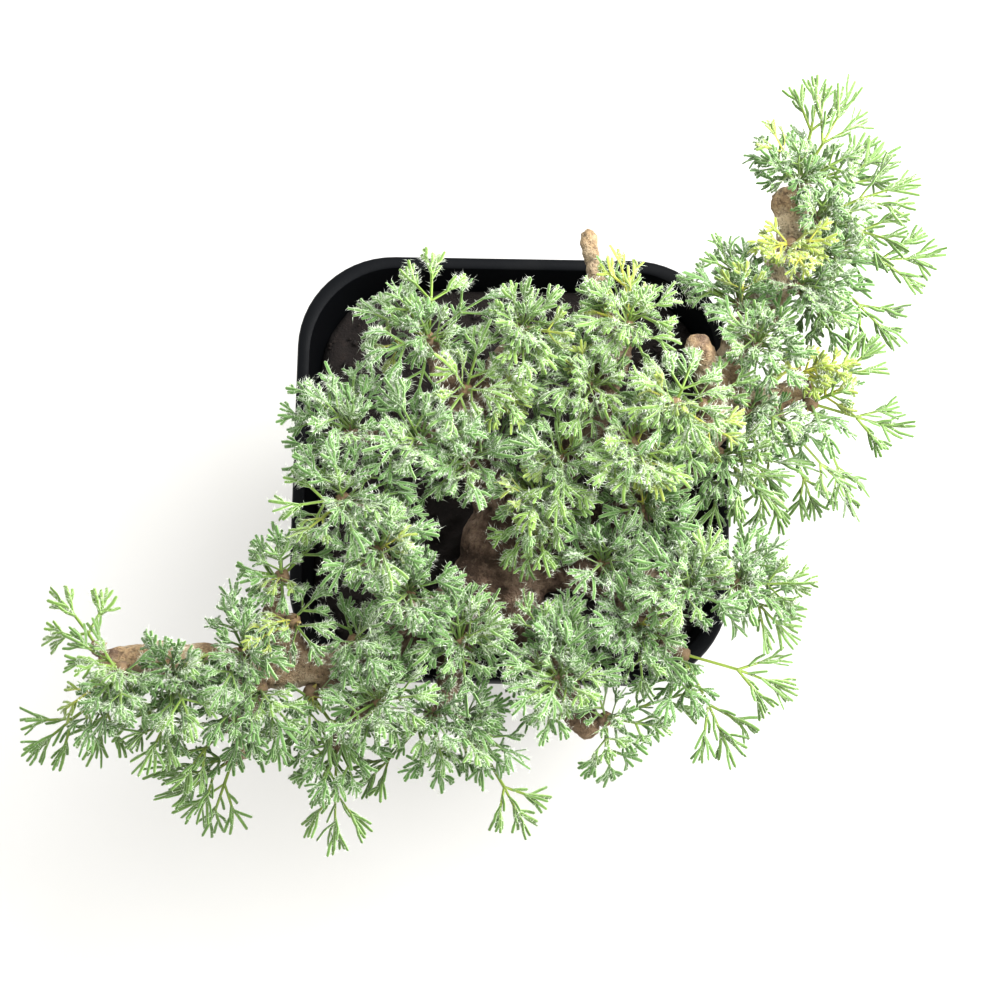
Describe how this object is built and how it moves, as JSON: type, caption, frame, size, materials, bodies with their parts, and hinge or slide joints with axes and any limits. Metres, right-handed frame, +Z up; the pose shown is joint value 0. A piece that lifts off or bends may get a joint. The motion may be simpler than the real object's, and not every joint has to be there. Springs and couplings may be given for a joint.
{
  "type": "potted succulent shrub",
  "caption": "Low, gnarled succulent shrub with finely cut, hairy leaves, spreading over the rim of a square black plastic nursery pot filled with soil.",
  "frame": {"origin": "middle of the pot's flat underside, level with what it stands on", "axes": "+Z up, +X to the pot's right side, +Y to its back; the longest branch runs off to -X at the front and the next to +X at the back"},
  "size_m": [0.2049, 0.1762, 0.1271],
  "materials": {
    "pot_plastic": "black injection-moulded plastic with a soft sheen",
    "soil": "dark, crumbly potting soil",
    "bark": "brown-grey bark, rough and mottled with paler skin",
    "leaf": "living leaf, grey-green under short white hairs",
    "yellow_leaf": "yellowed living leaf"
  },
  "bodies": {
    "root": {"pot": "pot_plastic", "soil": "soil", "stems": "bark", "leaves_west_tip": "leaf", "leaves_west_end": "leaf", "leaves_west_crest": "leaf", "leaves_west_top": "leaf", "leaves_west_flank": "leaf", "leaves_west_ridge": "leaf", "leaves_west_curtain": "leaf", "leaves_southwest_low": "leaf", "leaves_southwest_side": "leaf", "leaves_west_spray": "leaf", "leaves_west_nest": "leaf", "leaves_west_fringe": "leaf", "leaves_west_cover": "leaf", "leaves_southwest_tip": "leaf", "leaves_southwest_bush": "leaf", "leaves_south_left": "leaf", "leaves_south_reach": "leaf", "leaves_south_bush": "leaf", "leaves_south_tip": "leaf", "leaves_south_mid": "leaf", "leaves_south_top": "leaf", "leaves_southeast_tip": "leaf", "leaves_southeast_low": "leaf", "leaves_southeast_bush": "leaf", "leaves_southeast_spray": "leaf", "leaves_southeast_top": "leaf", "leaves_hook_tip": "leaf", "leaves_hook_mid": "leaf", "leaves_hook_low": "leaf", "leaves_northwest_tip": "leaf", "leaves_northwest_top": "leaf", "leaves_northwest_low": "leaf", "leaves_left_tip": "leaf", "leaves_left_top": "leaf", "leaves_north_tip": "leaf", "leaves_north_low": "leaf", "leaves_northeast_tip": "leaf", "leaves_northeast_top": "leaf", "leaves_northeast_low": "leaf", "leaves_trunk_top": "leaf", "leaves_centre_right": "leaf", "leaves_centre": "leaf", "leaves_east_low": "leaf", "leaves_east_hang": "leaf", "leaves_east_inner": "leaf", "leaves_right_reach": "leaf", "leaves_right_hang": "leaf", "leaves_right_low": "leaf", "leaves_east_mid": "leaf", "leaves_east_left": "leaf", "leaves_east_side": "leaf", "leaves_east_reach": "leaf", "leaves_east_bush": "leaf", "leaves_east_tip": "leaf", "leaves_yellow_arm": "yellow_leaf", "leaves_yellow_side": "yellow_leaf"}
  },
  "joints": []
}
